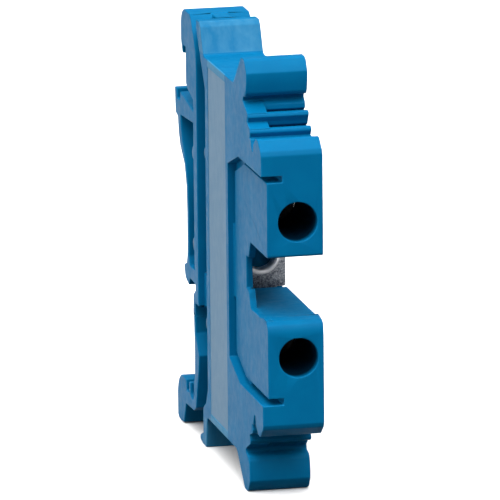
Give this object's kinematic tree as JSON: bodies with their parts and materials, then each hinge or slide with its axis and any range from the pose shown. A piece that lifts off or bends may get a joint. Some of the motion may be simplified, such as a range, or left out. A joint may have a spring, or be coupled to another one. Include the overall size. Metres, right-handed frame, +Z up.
{
  "type": "din rail terminal block",
  "caption": "Slim feed-through terminal block with two screw clamps, a current bar across a bridge well, and a foot that clips to a 35 mm rail.",
  "frame": {"origin": "centre of the rail's front face: halfway up the rail and halfway through the block's thickness", "axes": "+X along the rail towards the block's open side, +Y back through the rail, +Z up along the block's length; the front faces look along -Y"},
  "size_m": [0.006, 0.0386, 0.043],
  "materials": {
    "polyamide": "satin moulded polyamide",
    "tinned_copper": "dull tin plating over copper",
    "plated_steel": "zinc plated strip",
    "screw_steel": "dark passivated steel"
  },
  "bodies": {
    "root": {"housing": "polyamide", "current_bar": "tinned_copper", "clamp_cage_upper": "plated_steel", "clamp_cage_lower": "plated_steel"},
    "rail_latch": {"rail_latch": "polyamide"},
    "pressure_plate_upper": {"pressure_plate_upper": "plated_steel"},
    "clamp_screw_upper": {"clamp_screw_upper": "screw_steel"},
    "pressure_plate_lower": {"pressure_plate_lower": "plated_steel"},
    "clamp_screw_lower": {"clamp_screw_lower": "screw_steel"}
  },
  "joints": [
    {"name": "rail_latch_flex", "type": "hinge", "parent": "root", "child": "rail_latch", "pos_m": [0, -0.00293, -0.0093], "axis": [1, 0, 0], "range_deg": [-12, 0], "stiffness_Nm_per_rad": 0.35},
    {"name": "plate_travel_upper", "type": "slide", "parent": "root", "child": "pressure_plate_upper", "axis": [0, -1, 0], "range_m": [0, 0.003]},
    {"name": "screw_turn_upper", "type": "hinge", "parent": "pressure_plate_upper", "child": "clamp_screw_upper", "pos_m": [0.00055, -0.02262, 0.0067], "axis": [0, -1, 0], "range_deg": [0, 2160]},
    {"name": "plate_travel_lower", "type": "slide", "parent": "root", "child": "pressure_plate_lower", "axis": [0, -1, 0], "range_m": [0, 0.003]},
    {"name": "screw_turn_lower", "type": "hinge", "parent": "pressure_plate_lower", "child": "clamp_screw_lower", "pos_m": [0.00055, -0.02262, -0.0067], "axis": [0, -1, 0], "range_deg": [0, 2160]}
  ],
  "couplings": [
    {"joint": "screw_turn_upper", "follows": "plate_travel_upper", "rad_per_m": 12566},
    {"joint": "screw_turn_lower", "follows": "plate_travel_lower", "rad_per_m": 12566}
  ]
}
